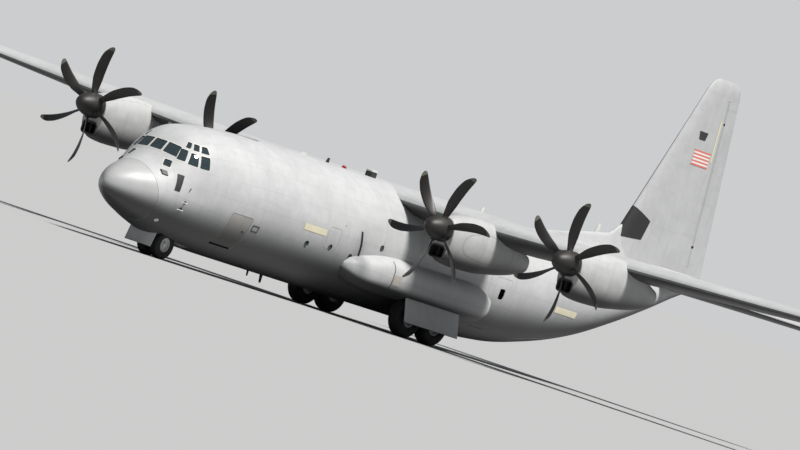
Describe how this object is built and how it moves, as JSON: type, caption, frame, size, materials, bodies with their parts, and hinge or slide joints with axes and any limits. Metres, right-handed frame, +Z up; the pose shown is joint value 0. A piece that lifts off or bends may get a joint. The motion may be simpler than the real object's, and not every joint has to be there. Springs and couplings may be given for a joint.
{
  "type": "half-size model of a four-propeller military transport aircraft",
  "caption": "High-wing military transport aircraft at half size, standing on its gear, with turning propellers and wheels, moving control surfaces, crew door, ramp and cargo door",
  "frame": {"origin": "on the ground, midway between the nose tip and the tail tip, in the middle plane", "axes": "+X to the aircraft's left, +Y toward the tail, +Z up; the nose points along -Y"},
  "size_m": [20.205, 17.185, 5.86],
  "materials": {
    "airframe_paint": "matte",
    "radome": "satin",
    "glass": "gloss",
    "interior": "matte",
    "dark_panel": "matte",
    "seat_fabric": "matte",
    "blade": "satin",
    "engine_metal": "satin",
    "steel": "satin",
    "wheel_paint": "satin",
    "tyre": "matte"
  },
  "bodies": {
    "airframe": {"aft_fuselage": "airframe_paint", "cargo_floor": "interior", "centre_fuselage": "airframe_paint", "centre_wing": "airframe_paint", "cockpit_glass": "glass", "crew_seats": "seat_fabric", "engine_1": "engine_metal", "engine_2": "engine_metal", "engine_3": "engine_metal", "engine_4": "engine_metal", "fin": "airframe_paint", "flight_deck": "interior", "forward_fuselage": "airframe_paint", "instrument_panel": "dark_panel", "main_gear_door_left": "airframe_paint", "main_gear_door_right": "airframe_paint", "main_gear_leg_left": "steel", "main_gear_leg_right": "steel", "nacelle_1": "airframe_paint", "nacelle_2": "airframe_paint", "nacelle_3": "airframe_paint", "nacelle_4": "airframe_paint", "nose_gear_door": "airframe_paint", "nose_gear_leg": "steel", "nose_section": "airframe_paint", "outer_wing_left": "airframe_paint", "outer_wing_right": "airframe_paint", "paratroop_door_left": "airframe_paint", "paratroop_door_right": "airframe_paint", "radome": "radome", "tail_cone": "airframe_paint", "tailplane_left": "airframe_paint", "tailplane_right": "airframe_paint", "wheel_fairing_left": "airframe_paint", "wheel_fairing_right": "airframe_paint"},
    "crew_door": {"crew_door": "airframe_paint"},
    "ramp": {"ramp": "airframe_paint"},
    "cargo_door": {"cargo_door": "airframe_paint"},
    "inboard_flap_left": {"inboard_flap_left": "airframe_paint"},
    "inboard_flap_right": {"inboard_flap_right": "airframe_paint"},
    "outboard_flap_left": {"outboard_flap_left": "airframe_paint"},
    "outboard_flap_right": {"outboard_flap_right": "airframe_paint"},
    "aileron_left": {"aileron_left": "airframe_paint"},
    "aileron_right": {"aileron_right": "airframe_paint"},
    "elevator_left": {"elevator_left": "airframe_paint"},
    "elevator_right": {"elevator_right": "airframe_paint"},
    "rudder": {"rudder": "airframe_paint"},
    "propeller_1": {"propeller_1": "blade"},
    "propeller_2": {"propeller_2": "blade"},
    "propeller_3": {"propeller_3": "blade"},
    "propeller_4": {"propeller_4": "blade"},
    "nose_fork": {"nose_fork": "steel"},
    "nose_wheels": {"nose_wheels": "wheel_paint", "nose_tyre_left": "tyre", "nose_tyre_right": "tyre"},
    "main_wheel_front_left": {"main_wheel_front_left": "tyre"},
    "main_wheel_rear_left": {"main_wheel_rear_left": "tyre"},
    "main_wheel_front_right": {"main_wheel_front_right": "tyre"},
    "main_wheel_rear_right": {"main_wheel_rear_right": "tyre"}
  },
  "joints": [
    {"name": "crew_door_hinge", "type": "hinge", "parent": "airframe", "child": "crew_door", "pos_m": [0.74148, -6.0575, 0.535], "axis": [0.0956, 0.9954, 0], "range_deg": [0, 105]},
    {"name": "ramp_hinge", "type": "hinge", "parent": "airframe", "child": "ramp", "pos_m": [0, 2.7375, 0.4], "axis": [-1, 0, 0], "range_deg": [0, 26]},
    {"name": "cargo_door_hinge", "type": "hinge", "parent": "airframe", "child": "cargo_door", "pos_m": [0, 6.4075, 1.695], "axis": [-1, 0, 0], "range_deg": [0, 24]},
    {"name": "inboard_flap_left_hinge", "type": "hinge", "parent": "airframe", "child": "inboard_flap_left", "pos_m": [1.9675, 0.28662, 2.10772], "axis": [-1, 0, 0], "range_deg": [0, 36]},
    {"name": "inboard_flap_right_hinge", "type": "hinge", "parent": "airframe", "child": "inboard_flap_right", "pos_m": [-1.9675, 0.28662, 2.10772], "axis": [-1, 0, 0], "range_deg": [0, 36]},
    {"name": "outboard_flap_left_hinge", "type": "hinge", "parent": "airframe", "child": "outboard_flap_left", "pos_m": [4.505, 0.14695, 2.1972], "axis": [-0.9953, 0.0813, -0.052], "range_deg": [0, 36]},
    {"name": "outboard_flap_right_hinge", "type": "hinge", "parent": "airframe", "child": "outboard_flap_right", "pos_m": [-4.505, 0.14695, 2.1972], "axis": [-0.9953, -0.0813, 0.052], "range_deg": [0, 36]},
    {"name": "aileron_left_hinge", "type": "hinge", "parent": "airframe", "child": "aileron_left", "pos_m": [7.9975, -0.13844, 2.37219], "axis": [-0.9955, 0.0814, -0.0479], "range_deg": [-20, 20]},
    {"name": "aileron_right_hinge", "type": "hinge", "parent": "airframe", "child": "aileron_right", "pos_m": [-7.9975, -0.13844, 2.37219], "axis": [-0.9955, -0.0814, 0.0479], "range_deg": [-20, 20]},
    {"name": "elevator_left_hinge", "type": "hinge", "parent": "airframe", "child": "elevator_left", "pos_m": [2.12, 7.8025, 2.25], "axis": [0.9998, -0.0202, 0], "range_deg": [-15, 40]},
    {"name": "elevator_right_hinge", "type": "hinge", "parent": "airframe", "child": "elevator_right", "pos_m": [-2.12, 7.8025, 2.25], "axis": [0.9998, 0.0202, 0], "range_deg": [-15, 40]},
    {"name": "rudder_hinge", "type": "hinge", "parent": "airframe", "child": "rudder", "pos_m": [0, 7.69, 4.0675], "axis": [0, -0.0973, 0.9953], "range_deg": [-35, 35]},
    {"name": "propeller_1_spin", "type": "hinge", "parent": "airframe", "child": "propeller_1", "pos_m": [5.135, -2.7925, 2.04], "axis": [0, 1, 0], "continuous": true},
    {"name": "propeller_2_spin", "type": "hinge", "parent": "airframe", "child": "propeller_2", "pos_m": [2.4765, -2.7925, 1.92], "axis": [0, 1, 0], "continuous": true},
    {"name": "propeller_3_spin", "type": "hinge", "parent": "airframe", "child": "propeller_3", "pos_m": [-2.4765, -2.7925, 1.92], "axis": [0, 1, 0], "continuous": true},
    {"name": "propeller_4_spin", "type": "hinge", "parent": "airframe", "child": "propeller_4", "pos_m": [-5.135, -2.7925, 2.04], "axis": [0, 1, 0], "continuous": true},
    {"name": "nose_steering", "type": "hinge", "parent": "airframe", "child": "nose_fork", "pos_m": [0, -6.7425, 0.2475], "axis": [0, 0, 1], "range_deg": [-60, 60]},
    {"name": "nose_wheels_spin", "type": "hinge", "parent": "nose_fork", "child": "nose_wheels", "pos_m": [0, -6.7425, 0.2475], "axis": [1, 0, 0], "continuous": true},
    {"name": "main_wheel_front_left_spin", "type": "hinge", "parent": "airframe", "child": "main_wheel_front_left", "pos_m": [1.0875, -0.9725, 0.355], "axis": [1, 0, 0], "continuous": true},
    {"name": "main_wheel_rear_left_spin", "type": "hinge", "parent": "airframe", "child": "main_wheel_rear_left", "pos_m": [1.0875, -0.2075, 0.355], "axis": [1, 0, 0], "continuous": true},
    {"name": "main_wheel_front_right_spin", "type": "hinge", "parent": "airframe", "child": "main_wheel_front_right", "pos_m": [-1.0875, -0.9725, 0.355], "axis": [1, 0, 0], "continuous": true},
    {"name": "main_wheel_rear_right_spin", "type": "hinge", "parent": "airframe", "child": "main_wheel_rear_right", "pos_m": [-1.0875, -0.2075, 0.355], "axis": [1, 0, 0], "continuous": true}
  ],
  "couplings": [
    {"joint": "outboard_flap_left_hinge", "follows": "inboard_flap_left_hinge", "ratio": 1},
    {"joint": "inboard_flap_right_hinge", "follows": "inboard_flap_left_hinge", "ratio": 1},
    {"joint": "outboard_flap_right_hinge", "follows": "inboard_flap_left_hinge", "ratio": 1},
    {"joint": "aileron_right_hinge", "follows": "aileron_left_hinge", "ratio": -1},
    {"joint": "elevator_right_hinge", "follows": "elevator_left_hinge", "ratio": 1}
  ]
}
